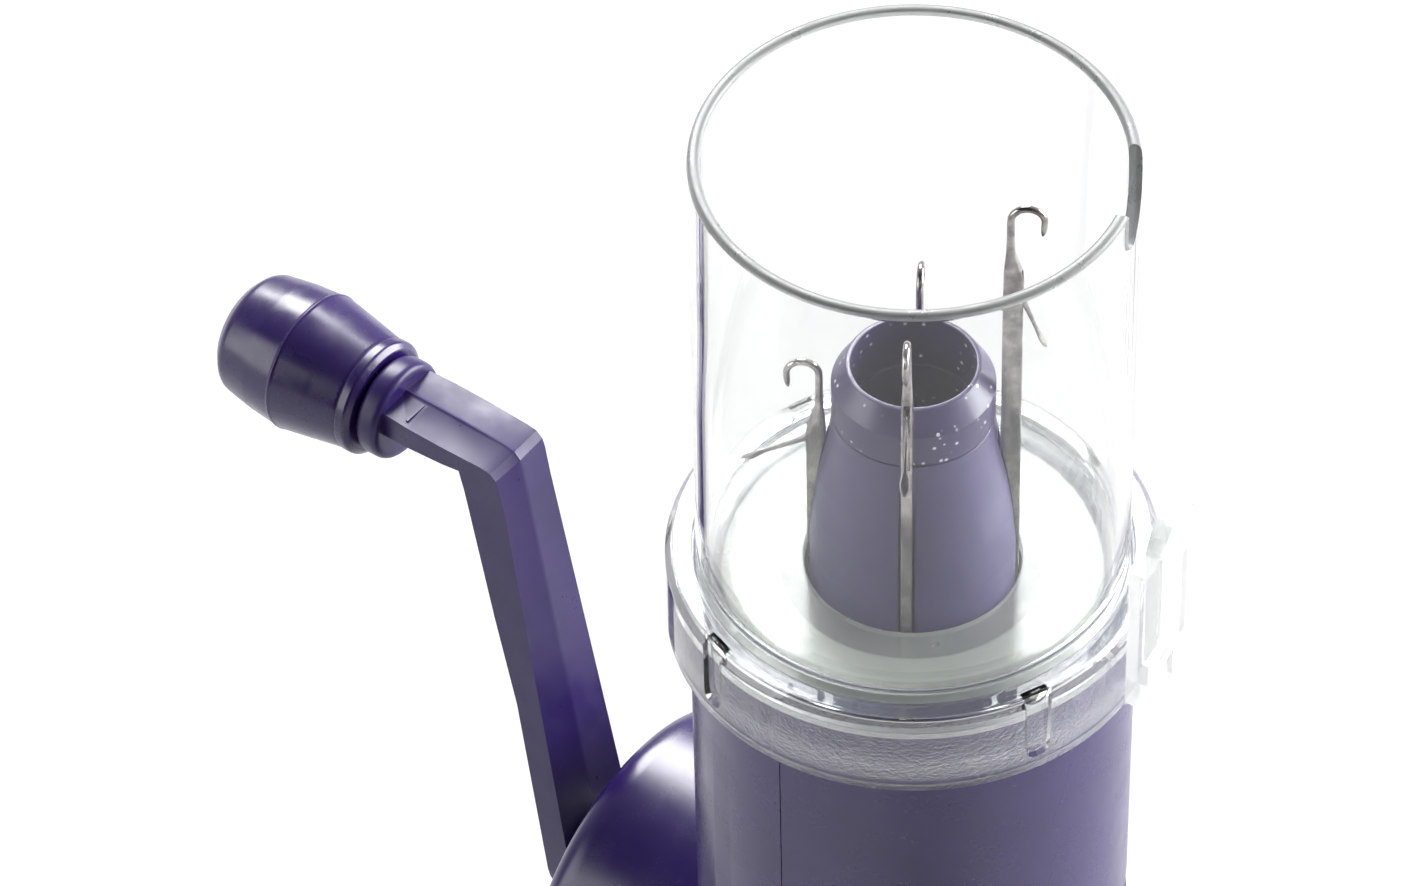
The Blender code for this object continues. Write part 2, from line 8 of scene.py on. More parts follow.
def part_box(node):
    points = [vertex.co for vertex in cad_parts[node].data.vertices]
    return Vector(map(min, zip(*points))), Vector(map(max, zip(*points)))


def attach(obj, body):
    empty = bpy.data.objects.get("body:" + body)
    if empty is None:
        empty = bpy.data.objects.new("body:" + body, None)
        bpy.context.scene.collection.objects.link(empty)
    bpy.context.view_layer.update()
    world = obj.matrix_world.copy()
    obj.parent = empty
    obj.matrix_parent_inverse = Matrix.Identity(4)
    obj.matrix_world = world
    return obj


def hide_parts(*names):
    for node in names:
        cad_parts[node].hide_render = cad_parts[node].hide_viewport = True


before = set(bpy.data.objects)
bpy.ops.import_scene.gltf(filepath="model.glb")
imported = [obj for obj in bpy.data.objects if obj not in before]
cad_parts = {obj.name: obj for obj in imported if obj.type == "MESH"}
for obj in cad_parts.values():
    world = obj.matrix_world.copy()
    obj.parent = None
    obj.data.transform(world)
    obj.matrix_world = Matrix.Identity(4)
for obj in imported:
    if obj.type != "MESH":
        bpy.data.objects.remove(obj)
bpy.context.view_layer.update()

MM = 0.001
low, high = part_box("clear_tube")
AXIS_X = (low[0] + high[0]) / 2 / MM      # drum axis, millimetres
RIM = high[2] / MM                        # rim of the clear tube
SHAFT_Z, KNOB_Z = 68.0, 123.4             # heights of the crank shaft and the knob's axle
FINE = 144          # steps round the large turned parts
NEEDLE_AZ = (32.3, 122.3, 212.3, -57.7)   # degrees round the drum axis
LATCH_REST = (160.0, 165.0, 118.0, 155.0)  # degrees from straight up, opening outward
HOOK_TOP = 181.2                          # height of a needle's hook at zero lift
RIVET_R, RIVET_DROP = 10.4, 11.0          # latch rivet: from the drum axis, below the hook top
DRUM_BORE = 6.4
NOTCH_AZ, GUIDE_AZ = 25.0, 9.0            # yarn notch in the rim, yarn guide on the collar
LUG_AZ = (-24.0, 67.5, 157.5, 252.5)      # pockets round the collar
BOSS_Y, BOSS_Z = 12.5, (20.0, 94.0)       # screw bosses of the body
VIEW_TURN = Matrix.Rotation(math.radians(38), 3, "Z")


# ---- material nodes ----------------------------------------------------------
def nodes_of(name):
    """New material, its node tree and its Principled shader."""
    mat = bpy.data.materials.new(name)
    mat.use_nodes = True
    tree = mat.node_tree
    return mat, tree, tree.nodes["Principled BSDF"]


def node(tree, kind, links=(), **values):
    """Add a shader node, set its inputs or properties, and link its inputs."""
    made = tree.nodes.new(kind)
    for key, value in values.items():
        if key in made.inputs:
            made.inputs[key].default_value = value
        else:
            setattr(made, key, value)
    for name, source in links:
        tree.links.new(source, made.inputs[name])
    return made


def ramp(tree, source, low_value, high_value, start=0.3, end=0.7):
    """Map start..end of source to low_value..high_value."""
    made = node(tree, "ShaderNodeMapRange", [("Value", source)])
    for key, value in (("From Min", start), ("From Max", end),
                       ("To Min", low_value), ("To Max", high_value)):
        made.inputs[key].default_value = value
    return made.outputs["Result"]


def blend(tree, factor, first, second):
    """Mix two colours; the first may be a colour or another node's output."""
    made = node(tree, "ShaderNodeMix", data_type="RGBA")
    tree.links.new(factor, made.inputs["Factor"])
    if isinstance(first, tuple):
        made.inputs["A"].default_value = (*first, 1)
    else:
        tree.links.new(first, made.inputs["A"])
    made.inputs["B"].default_value = (*second, 1)
    return made.outputs["Result"]


def noise(tree, coords, scale, detail=4.0, rough=0.55, stretch=(1, 1, 1)):
    place = node(tree, "ShaderNodeMapping", [("Vector", coords)])
    place.inputs["Scale"].default_value = stretch
    made = node(tree, "ShaderNodeTexNoise", [("Vector", place.outputs[0])])
    made.inputs["Scale"].default_value = scale
    made.inputs["Detail"].default_value = detail
    made.inputs["Roughness"].default_value = rough
    return made.outputs["Fac"]


def plastic(name, dark, light, rough, spread, grain=0.005, speck=0.0, ior=1.65):
    """Moulded plastic: cloudy pigment, uneven gloss, fine skin texture, dust specks."""
    mat, tree, bsdf = nodes_of(name)
    coords = node(tree, "ShaderNodeTexCoord").outputs["Object"]
    cloud = noise(tree, coords, 95, 5)
    colour = blend(tree, ramp(tree, cloud, 0, 1), dark, light)
    if speck:
        dots = node(tree, "ShaderNodeTexVoronoi", [("Vector", coords)], Scale=850.0)
        mask = ramp(tree, dots.outputs["Distance"], 1, 0, 0.13, 0.20)
        some = ramp(tree, noise(tree, coords, 330, 2), 0, speck, 0.47, 0.53)
        both = node(tree, "ShaderNodeMath", operation="MULTIPLY")
        tree.links.new(mask, both.inputs[0])
        tree.links.new(some, both.inputs[1])
        colour = blend(tree, both.outputs[0], colour, (0.75, 0.72, 0.78))
    tree.links.new(colour, bsdf.inputs["Base Color"])
    patchy = noise(tree, coords, 210, 6, 0.6)
    tree.links.new(ramp(tree, patchy, rough - spread, rough + spread), bsdf.inputs["Roughness"])
    skin = noise(tree, coords, 1700, 3)
    wave = noise(tree, coords, 130, 2)
    sink = node(tree, "ShaderNodeBump", [("Height", wave)], Strength=0.03, Distance=0.0004)
    bump = node(tree, "ShaderNodeBump", [("Height", skin), ("Normal", sink.outputs[0])],
                Strength=grain, Distance=0.0001)
    tree.links.new(bump.outputs[0], bsdf.inputs["Normal"])
    bsdf.inputs["IOR"].default_value = ior
    return mat


def acrylic(name, tint, rough, wobble, grain=0.0, cell=900, clear=1.0):
    """Clear moulded acrylic that lets lamps through, with faint flow lines; grain frosts it."""
    mat, tree, bsdf = nodes_of(name)
    coords = node(tree, "ShaderNodeTexCoord").outputs["Object"]
    flow = noise(tree, coords, 60, 3, 0.5, (1, 1, 0.12))
    paler = tuple(min(1.0, c * 1.03) for c in tint)
    tree.links.new(blend(tree, ramp(tree, flow, 0, 1), tint, paler), bsdf.inputs["Base Color"])
    scuff = noise(tree, coords, 320, 5, 0.6)
    tree.links.new(ramp(tree, scuff, rough * 0.6, rough * 1.4), bsdf.inputs["Roughness"])
    bump = node(tree, "ShaderNodeBump", [("Height", flow)], Strength=wobble, Distance=0.0003)
    if grain:
        frost = noise(tree, coords, cell, 4, 0.7)
        bump = node(tree, "ShaderNodeBump", [("Height", frost), ("Normal", bump.outputs[0])],
                    Strength=grain, Distance=0.00025)
    tree.links.new(bump.outputs[0], bsdf.inputs["Normal"])
    bsdf.inputs["Transmission Weight"].default_value = clear
    bsdf.inputs["IOR"].default_value = 1.49
    path = node(tree, "ShaderNodeLightPath")
    through = node(tree, "ShaderNodeBsdfTransparent", Color=(0.94, 0.96, 0.95, 1))
    mix = node(tree, "ShaderNodeMixShader", [("Fac", path.outputs["Is Shadow Ray"])])
    tree.links.new(bsdf.outputs[0], mix.inputs[1])
    tree.links.new(through.outputs[0], mix.inputs[2])
    tree.links.new(mix.outputs[0], tree.nodes["Material Output"].inputs["Surface"])
    return mat


def metal(name, dark, light, rough, brushed=(1, 1, 1)):
    """Plated steel: drawn scratches, patchy polish and darker tarnish."""
    mat, tree, bsdf = nodes_of(name)
    coords = node(tree, "ShaderNodeTexCoord").outputs["Object"]
    stain = noise(tree, coords, 600, 5)
    tree.links.new(blend(tree, ramp(tree, stain, 0, 1), dark, light), bsdf.inputs["Base Color"])
    lines = noise(tree, coords, 900, 4, 0.6, brushed)
    tree.links.new(ramp(tree, lines, rough * 0.6, rough * 1.5), bsdf.inputs["Roughness"])
    bump = node(tree, "ShaderNodeBump", [("Height", lines)], Strength=0.06, Distance=0.00008)
    tree.links.new(bump.outputs[0], bsdf.inputs["Normal"])
    bsdf.inputs["Metallic"].default_value = 1.0
    return mat


VIOLET = plastic("violet_shell", (0.018, 0.007, 0.088), (0.026, 0.011, 0.116), 0.26, 0.04)
VIOLET_ARM = plastic("violet_crank", (0.015, 0.006, 0.072), (0.024, 0.010, 0.100), 0.36, 0.10,
                     0.03, ior=1.5)
VIOLET_KNOB = plastic("violet_knob", (0.015, 0.005, 0.072), (0.023, 0.009, 0.098), 0.27, 0.09)
VIOLET_CORE = plastic("violet_core", (0.036, 0.026, 0.090), (0.050, 0.038, 0.118), 0.38, 0.06,
                      0.004)
# nose plastic, also used darker inside the post's bore as painted shade
VIOLET_NOSE = plastic("violet_nose", (0.024, 0.014, 0.066), (0.036, 0.024, 0.092), 0.34, 0.06,
                      0.004, speck=0.8)
ACRYLIC = acrylic("clear_acrylic", (0.925, 0.932, 0.929), 0.02, 0.08)
FROSTED = acrylic("frosted_acrylic", (0.95, 0.96, 0.97), 0.10, 0.06, 0.7, 2600)
RIM_GLASS = acrylic("ground_rim", (0.50, 0.515, 0.51), 0.34, 0.05, 0.12, 1800, 0.55)
FLOOR_GLASS = acrylic("cloudy_floor", (0.49, 0.50, 0.495), 0.20, 0.04, clear=0.82)
MILKY = acrylic("pale_acrylic", (0.80, 0.805, 0.805), 0.14, 0.03, clear=0.84)
NICKEL = metal("nickel_needle", (0.26, 0.24, 0.24), (0.62, 0.58, 0.57), 0.16, (1, 1, 0.06))
ZINC = metal("zinc_fastener", (0.42, 0.43, 0.45), (0.62, 0.63, 0.65), 0.34)
ACETAL = plastic("natural_acetal", (0.66, 0.66, 0.61), (0.74, 0.74, 0.70), 0.42, 0.06)


# ---- mesh helpers ------------------------------------------------------------
def piece(name, bm, mats, body=None, nodes=(), angle=30, bevel=0.0):
    """Make an object from a bmesh in millimetres."""
    bmesh.ops.remove_doubles(bm, verts=bm.verts, dist=1e-4)
    bmesh.ops.recalc_face_normals(bm, faces=bm.faces)
    bm.transform(Matrix.Scale(MM, 4))
    mesh = bpy.data.meshes.new(name)
    bm.to_mesh(mesh)
    bm.free()
    for mat in mats:
        mesh.materials.append(mat)
    mesh.shade_smooth()
    mesh.set_sharp_from_angle(angle=math.radians(angle))
    obj = bpy.data.objects.new(name, mesh)
    bpy.context.scene.collection.objects.link(obj)
    if bevel:
        mod = obj.modifiers.new("edges", "BEVEL")
        mod.width, mod.segments, mod.limit_method = bevel * MM, 3, "ANGLE"
        mod.angle_limit, mod.harden_normals = math.radians(angle), True
        mod.use_clamp_overlap = True
    if body:
        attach(obj, body)
        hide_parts(*nodes)
    return obj


def rounded(points, steps=5):
    """Polygon from (x, z) or (x, z, radius) points, its corners turned into arcs."""
    out, count = [], len(points)
    for i, point in enumerate(points):
        here = Vector(point[:2])
        radius = point[2] if len(point) > 2 else 0
        back, on = Vector(points[i - 1][:2]) - here, Vector(points[(i + 1) % count][:2]) - here
        half = back.angle(on) / 2 if radius else 0
        if not radius or math.degrees(half) > 88:
            out.append(tuple(here))
            continue
        reach = min(radius / math.tan(half), 0.48 * back.length, 0.48 * on.length)
        a, b = here + back.normalized() * reach, here + on.normalized() * reach
        for k in range(steps + 1):
            t = k / steps
            out.append(tuple(a * (1 - t) ** 2 + here * 2 * t * (1 - t) + b * t * t))
    return out


def supported(points, near=0.2):
    """Add a point close to both ends of every long span, so that its shading stays straight."""
    out = []
    for i, here in enumerate(points):
        here, on = Vector(here), Vector(points[(i + 1) % len(points)])
        out.append(here)
        if (on - here).length > 6 * near:
            way = (on - here).normalized() * near
            out += [here + way, on - way]
    return out


def turned(profile, segs=FINE, axis="Z", at=(AXIS_X, 0, 0), steps=5):
    """Spin a closed profile of (radius, height[, fillet]) about z, or with axis T about -x."""
    bm = bmesh.new()
    ring = [bm.verts.new((r, 0, h)) for r, h in supported(rounded(profile, steps))]
    edges = [bm.edges.new((ring[i], ring[(i + 1) % len(ring)])) for i in range(len(ring))]
    bmesh.ops.spin(bm, geom=ring + edges, cent=(0, 0, 0), axis=(0, 0, 1),
                   angle=math.tau, steps=segs, use_merge=True)
    bmesh.ops.remove_doubles(bm, verts=bm.verts, dist=1e-4)
    if axis == "T":
        bm.transform(Matrix.Rotation(-math.pi / 2, 4, "Y"))
    bm.transform(Matrix.Translation(at))
    return bm


def rod(radius, h0, h1, segs=32, axis="Z", at=(AXIS_X, 0, 0)):
    return turned([(0, h0), (radius, h0), (radius, h1), (0, h1)], segs, axis, at)


def block(lo, hi):
    """Box between two corners."""
    bm = bmesh.new()
    bmesh.ops.create_cube(bm, size=1.0)
    size = [b - a for a, b in zip(lo, hi)]
    mid = [(a + b) / 2 for a, b in zip(lo, hi)]
    bm.transform(Matrix.Translation(mid) @ Matrix.Diagonal((*size, 1.0)))
    return bm


def loft(rings):
    """Skin a list of equal rings of points and close both ends."""
    bm = bmesh.new()
    made = [[bm.verts.new(p) for p in ring] for ring in rings]
    count = len(made[0])
    for a, b in zip(made, made[1:]):
        for i in range(count):
            j = (i + 1) % count
            bm.faces.new((a[i], a[j], b[j], b[i]))
    bm.faces.new(made[0][::-1])
    bm.faces.new(made[-1])
    return bm


def plate(outline, half):
    """Slab from an (x, z) outline, half its thickness to each side of y = 0."""
    return loft([[(x, y, z) for x, z in outline] for y in (-half, 0.0, half)])


def carve(base, steps):
    """Exact solid operations on bmeshes; returns the resulting bmesh."""
    def temp(bm):
        mesh = bpy.data.meshes.new("tool")
        bmesh.ops.recalc_face_normals(bm, faces=bm.faces)
        bm.to_mesh(mesh)
        bm.free()
        obj = bpy.data.objects.new("tool", mesh)
        bpy.context.scene.collection.objects.link(obj)
        return obj
    made = [temp(base)]
    for kind, bm in steps:
        made.append(temp(bm))
        mod = made[0].modifiers.new(kind, "BOOLEAN")
        mod.operation, mod.solver, mod.object = kind, "MANIFOLD", made[-1]
    bpy.context.view_layer.update()
    graph = bpy.context.evaluated_depsgraph_get()
    result = bpy.data.meshes.new_from_object(made[0].evaluated_get(graph))
    out = bmesh.new()
    out.from_mesh(result)
    bpy.data.meshes.remove(result)
    for obj in made:
        mesh = obj.data
        bpy.data.objects.remove(obj)
        bpy.data.meshes.remove(mesh)
    return out


def round_at(az, radius=0.0, z=0.0):
    """Place at az degrees round the drum axis, with local x pointing outward."""
    return (Matrix.Translation((AXIS_X, 0, 0)) @ Matrix.Rotation(math.radians(az), 4, "Z")
            @ Matrix.Translation((radius, 0, z)))


def half_round(cx, cz, radius, steps):
    """Points of the upper half of a circle, from right to left."""
    return [(cx + radius * math.cos(math.pi * i / steps),
             cz + radius * math.sin(math.pi * i / steps)) for i in range(steps + 1)]


def lift(az):
    """Height that the cam gives a needle at az degrees."""
    phi = math.radians(az - 5.0)
    return 12.54 * math.cos(phi) + 2.7 * math.cos(2 * phi)


# ---- body --------------------------------------------------------------------
def body_half(name, side, node_name):
    """One half shell; side is -1 for the half with the gear neck, else 1."""
    outer = turned([(0, 6.3), (22.9, 6.3, 0.6), (23.0, 60), (23.3, 130), (23.3, 142.3, 0.5),
                    (0, 142.3)])
    steps = []
    axle = (AXIS_X, 0, SHAFT_Z)
    if side < 0:
        neck = [(0, 6), (21.8, 6), (21.8, 38, 3.5), (0, 38)]
        steps.append(("UNION", turned(neck, FINE, "T", axle, steps=9)))
    cavity = turned([(0, 0), (21, 0), (21, 100), (11.2, 100), (11.2, 102.2), (21, 102.2),
                     (21, 160), (0, 160)])
    steps.append(("DIFFERENCE", cavity))
    if side < 0:
        steps.append(("DIFFERENCE", rod(19.6, 8, 33, FINE, "T", axle)))
        steps.append(("DIFFERENCE", rod(11.0, 30, 37, 64, "T", axle)))
        steps.append(("DIFFERENCE", turned([(0, 35.9), (17.7, 35.9), (17.7, 37.8), (18.0, 38.3),
                                            (18.0, 45), (0, 45)], FINE, "T", axle)))
    for y in (-BOSS_Y, BOSS_Y):
        for z in BOSS_Z:
            at = (AXIS_X, y, z)
            ends = (-1.0, 16.6) if side < 0 else (-16.6, 1.0)
            steps.append(("UNION", rod(3.2, *ends, 24, "T", at)))
            if side > 0:
                steps.append(("DIFFERENCE", rod(2.5, -30, -15.4, 32, "T", at)))
    gap = 0.06                       # keeps the two halves apart along the seam
    x0, x1 = (AXIS_X - gap, AXIS_X + 60) if side < 0 else (AXIS_X - 60, AXIS_X + gap)
    steps.append(("DIFFERENCE", block((x0, -40, -1), (x1, 40, 161))))
    piece(name, carve(outer, steps), [VIOLET], "frame", [node_name], 34)


def body():
    body_half("shell_crank", -1, "body_shell_crank_side")
    body_half("shell_guide", 1, "body_shell_guide_side")
    base = turned([(9.0, 0, 0.3), (24.5, 0, 1.2), (24.5, 6.0, 0.8), (20.6, 6.0), (20.6, 12.0, 0.3),
                   (18.2, 12.0, 0.3), (17.4, 4.0, 0.8), (10.5, 3.0, 0.5), (9.0, 2.4, 0.5)])
    piece("foot_cap", base, [VIOLET], "frame", ["base_cap"])
    at = (AXIS_X, 0, SHAFT_Z)
    cover = turned([(4.9, 36.2), (17.6, 36.2), (17.6, 38.0, 0.4), (8.4, 38.0, 0.2),
                    (7.8, 37.5, 0.2), (4.9, 37.5)], FINE, "T", at)
    spots = [(AXIS_X, 14.4 * math.cos(math.radians(a)), SHAFT_Z + 14.4 * math.sin(math.radians(a)))
             for a in (100, 220, 340)]
    cover = carve(cover, [("DIFFERENCE", rod(2.5, 36.5, 50, 32, "T", s)) for s in spots])
    piece("neck_cover", cover, [VIOLET], "frame", ["gear_housing_cover"])


# ---- crank -------------------------------------------------------------------
def leg_outer(z):
    """Distance of the long leg's outer face from the drum axis."""
    spans = ((60.0, 45.03), (92.0, 50.34), (104.0, 53.27), (124.0, 57.72))
    for (z0, t0), (z1, t1) in zip(spans, spans[1:]):
        if z <= z1:
            return t0 + (z - z0) * (t1 - t0) / (z1 - z0)


def leg_inner(z):
    """Distance of the long leg's inner face from the drum axis."""
    return 42.87 + 0.164 * (z - SHAFT_Z)


def arm_bmesh():
    """Strip of cross-sections up the long leg, round the elbow and out to the knob."""
    bands = []
    for a in range(12, 90, 13):
        z = SHAFT_Z - 5.65 * math.cos(math.radians(a))
        bands.append(((leg_outer(z), z), (leg_inner(z), z), 5.65 * math.sin(math.radians(a)), 0.1))
    for z in (68, 74, 80, 86, 92, 96, 100, 104, 110, 116, 121):
        bands.append(((leg_outer(z), z), (leg_inner(z), z), 5.65 - 0.0305 * (z - 68), 0.12))
    under = (57.7, 123.9)
    bands += [(under, (52.15, 124.2), 4.1, 0.12), (under, (52.5, 125.35), 4.1, 0.2),
              (under, (53.3, 126.1), 4.1, 0.25), (under, (54.6, 126.3), 4.1, 0.3)]
    bands += [((t, 123.9 - 0.07 * (t - 57.7)), (t, 126.3 + 0.02 * (t - 54.6)), 4.25, 0.32)
              for t in (60.0, 64.5)]
    bands.append(((69.2, 123.1), (69.2, 126.6), 4.0, 0.32))
    rings = []
    for (t0, z0), (t1, z1), half, crown in bands:
        out = Vector((t1 - t0, z1 - z0)).normalized()
        ring = [Vector((AXIS_X - t0, -half, z0)), Vector((AXIS_X - t0, half, z0))]
        for y, rise in ((half, 0), (0.34, 0.55 * crown), (0, crown), (-0.34, 0.55 * crown),
                        (-half, 0)):
            ring.append(Vector((AXIS_X - t1 - out.x * rise, y, z1 + out.y * rise)))
        rings.append(ring)
    bm = loft(rings)
    bmesh.ops.remove_doubles(bm, verts=bm.verts, dist=1e-4)
    return bm


def crank():
    at, high_at = (AXIS_X, 0, SHAFT_Z), (AXIS_X, 0, KNOB_Z)
    hub = turned([(0, 40.6), (5.3, 40.6, 0.5), (5.3, 44.9), (0, 44.9)], 64, "T", at)
    boss = turned([(0, 68.0), (5.8, 68.0, 0.9), (5.8, 70.9, 0.9), (0, 70.9)], 72, "T", high_at)
    mark = block((AXIS_X - 65.3, -3.5, 126), (AXIS_X - 65.0, -0.5, 126.75))
    arm = carve(arm_bmesh(), [("UNION", hub), ("UNION", boss), ("UNION", mark),
                              ("DIFFERENCE", rod(3.3, 30, 60, 48, "T", at)),
                              ("DIFFERENCE", rod(4.3, 44.5, 60, 48, "T", at)),
                              ("DIFFERENCE", rod(2.2, 68.4, 80, 32, "T", high_at))])
    piece("arm", arm, [VIOLET_ARM], "crank", ["crank_arm"], 24, 0.3)
    knob = turned([(2.2, 71.2), (6.1, 71.2, 0.4), (6.8, 71.75, 0.5), (6.8, 72.8, 0.25),
                   (6.66, 73.0), (6.75, 73.3, 0.2), (7.45, 77.2, 6), (8.08, 81.05),
                   (8.16, 81.15), (8.16, 81.28), (8.06, 81.4), (7.75, 85.0, 6), (7.1, 89.0, 1.8),
                   (5.4, 90.5, 1.8), (0, 90.5), (0, 86), (2.2, 85.6)], 96, "T", high_at, steps=8)
    piece("grip", knob, [VIOLET_KNOB], "knob", ["knob"], 40)


# ---- clear parts ---------------------------------------------------------------
def clear_parts():
    tube = turned([(11.3, 142.6), (24.3, 142.6, 0.2), (24.3, 143.9, 0.2), (22.5, 143.9, 0.3),
                   (22.5, RIM, 0.66), (21.16, RIM, 0.66), (21.16, 144.1, 3.0), (11.3, 144.1, 0.2)],
                  FINE, steps=7)
    lip = RIM - 6.0
    notch = [(-4.9, RIM + 3), (-4.5, RIM + 0.2), (-4.0, RIM - 0.5), (-3.9, lip + 1.6),
             (-3.5, lip + 0.6), (-2.8, lip + 0.1), (-2.0, lip), (-1.2, lip + 0.4), (5.9, RIM),
             (9.0, RIM + 3)]
    cut = plate(notch, 4)
    cut.transform(round_at(NOTCH_AZ) @ Matrix.Rotation(math.pi / 2, 4, "Z")
                  @ Matrix.Translation((0, -22, 0)))
    tube = carve(tube, [("DIFFERENCE", cut)])
    tube = piece("yarn_tube", tube, [ACRYLIC, RIM_GLASS, FLOOR_GLASS], "frame", ["clear_tube"],
                 34)
    ahead = Vector((math.cos(math.radians(NOTCH_AZ)), math.sin(math.radians(NOTCH_AZ))))
    for face in tube.data.polygons:
        here = face.center / MM
        outward = Vector((here.x - AXIS_X, here.y))
        reach = outward.length
        outward.normalize()
        in_notch = (here.z > lip - 0.3 and outward.dot(ahead) > 0.95
                    and abs(outward.dot(face.normal.xy)) < 0.9)
        if here.z > RIM - 0.62 or in_notch:
            face.material_index = 1
        elif here.z < 146.5 and reach < 20.8:
            face.material_index = 2
    ring = turned([(23.6, 134.9, 0.4), (25.7, 134.9, 0.4), (25.7, 144.4, 0.6), (24.9, 145.4, 0.3),
                   (22.9, 145.4, 0.2), (22.9, 144.2), (24.6, 144.2), (24.6, 142.3), (23.6, 142.3)])
    cuts = []
    for az in LUG_AZ:
        slot = plate(rounded([(-1.35, 136.8, 1.3), (1.35, 136.8, 1.3), (1.5, 147), (-1.5, 147)]),
                     1.0)
        slot.transform(round_at(az) @ Matrix.Rotation(math.pi / 2, 4, "Z")
                       @ Matrix.Translation((0, -26.0, 0)))
        cuts.append(("DIFFERENCE", slot))
        scoop = rod(1.5, 24.2, 27, 32, "Z", (0, 0, 0))
        scoop.transform(round_at(az, 0, 145.4) @ Matrix.Rotation(math.pi / 2, 4, "Y"))
        cuts.append(("DIFFERENCE", scoop))
    collar = piece("collar", carve(ring, cuts), [ACRYLIC, FROSTED], "frame", ["clear_collar"],
                   34)
    for face in collar.data.polygons:
        here = face.center / MM
        if math.hypot(here.x - AXIS_X, here.y) < 23.8 and here.z < 142.2:
            face.material_index = 1
    side = round_at(GUIDE_AZ) @ Matrix.Rotation(math.pi / 2, 4, "Z")
    tab = plate([(-4, 144.2), (4, 144.2)] + half_round(0, 159.6, 4, 24), 0.98)
    tab.transform(side @ Matrix.Translation((0, -29.2, 0)))
    bracket = block((26.0, -3.0, 136.3), (28.5, 3.0, 155.8))
    bracket.transform(round_at(GUIDE_AZ))
    hole = rod(1.5, 25, 33, 32, "Z", (0, 0, 0))
    hole.transform(round_at(GUIDE_AZ, 0, 159.4) @ Matrix.Rotation(math.pi / 2, 4, "Y"))
    guide = carve(bracket, [("UNION", tab), ("DIFFERENCE", hole)])
    piece("thread_guide", guide, [MILKY], "frame", ["yarn_guide"], 30, 0.2)


# ---- drum and needles ------------------------------------------------------------
def drum():
    core = turned([(DRUM_BORE, 77.2), (8.6, 77.2), (8.6, 103.4), (13.4, 103.4), (13.4, 105.0),
                   (10.7, 105.2), (10.7, 147.5, 4), (10.3, 152.6, 4), (9.7, 157.0, 4),
                   (8.8, 161.4, 4), (8.35, 164.2, 0.5), (8.3, 165.1, 0.2), (DRUM_BORE, 165.1)])
    cuts = []
    for az in NEEDLE_AZ:
        slot = block((8.6, -0.85, 105.6), (14, 0.85, 167))
        slot.transform(round_at(az))
        cuts.append(("DIFFERENCE", slot))
    post = piece("post", carve(core, cuts), [VIOLET_CORE, VIOLET_NOSE], "drum", ["needle_drum"])
    # the post's bore faces take the darker nose plastic: painted shade down the bore
    for face in post.data.polygons:
        if math.hypot(face.center.x / MM - AXIS_X, face.center.y / MM) < DRUM_BORE + 0.2:
            face.material_index = 1
    nose = turned([(DRUM_BORE, 165.4), (8.4, 165.4, 0.2), (8.4, 169.4, 0.2), (6.9, 171.9, 0.25),
                   (DRUM_BORE, 172.0, 0.15)])
    piece("post_nose", nose, [VIOLET_NOSE], "drum", ["drum_nose"])


def section(centre, across, radial, side, power, sides=20):
    """Ring round centre: radial half-size along across, side half-size along y."""
    ring = []
    for i in range(sides):
        a = math.tau * (i + 0.5) / sides
        c, s = math.cos(a), math.sin(a)
        grow = (abs(c) ** power + abs(s) ** power) ** (-1 / power)
        ring.append(centre + across * (radial * grow * c) + Vector((0, side * grow * s, 0)))
    return ring


def needle_bmesh():
    """Latch needle, hook top at z = 0: flat shank, tapered neck, round hook."""
    rings = []
    stations = ((-64.0, 9.95, 0.75, 0.55, 6), (-63.3, 9.95, 1.04, 0.6, 8),
                (-13.2, 9.95, 1.04, 0.6, 8), (-11.0, 10.0, 1.05, 0.62, 6),
                (-9.4, 9.97, 1.0, 0.60, 5), (-8.2, 9.82, 0.80, 0.56, 4),
                (-6.5, 9.64, 0.47, 0.46, 3), (-4.5, 9.62, 0.41, 0.42, 2),
                (-2.4, 9.62, 0.40, 0.40, 2))
    for z, x, radial, side, power in stations:
        rings.append(section(Vector((x, 0, z)), Vector((1, 0, 0)), radial, side, power))
    for i in range(1, 15):
        a = math.radians(180 - 188 * i / 14)
        out = Vector((math.cos(a), 0, math.sin(a)))
        size = 0.40 - 0.06 * i / 14
        rings.append(section(Vector((11.3, 0, -2.1)) + out * 1.68, -out, size, size, 2))
    for x, z, size in ((12.93, -2.9, 0.34), (12.87, -3.5, 0.28), (12.8, -4.0, 0.12)):
        rings.append(section(Vector((x, 0, z)), Vector((-0.98, 0, 0.2)), size, size, 2))
    body_mesh = loft(rings)
    butt = block((10.0, -0.6, -62.0), (13.5, 0.6, -58.0))
    slot = block((9.7, -0.35, -18.0), (12, 0.35, -8.9))
    return carve(body_mesh, [("UNION", butt), ("DIFFERENCE", slot)])


def latch_bmesh():
    """Latch along +z from its rivet, with a cupped spoon at the end."""
    rings = []
    for z, x, radial, side, power in ((-0.6, 0, 0.25, 0.2, 3), (-0.4, 0, 0.5, 0.2, 3),
                                      (0.0, 0, 0.6, 0.2, 3), (0.6, 0, 0.48, 0.2, 3),
                                      (1.4, 0, 0.30, 0.2, 3), (3.8, 0, 0.23, 0.2, 3),
                                      (5.6, 0, 0.21, 0.22, 2), (6.3, 0.02, 0.22, 0.42, 2),
                                      (7.0, 0.04, 0.20, 0.55, 2), (7.6, 0.0, 0.18, 0.50, 2),
                                      (8.1, -0.06, 0.16, 0.34, 2), (8.4, -0.1, 0.08, 0.12, 2)):
        rings.append(section(Vector((x, 0, z)), Vector((1, 0, 0)), radial, side, power))
    return loft(rings)


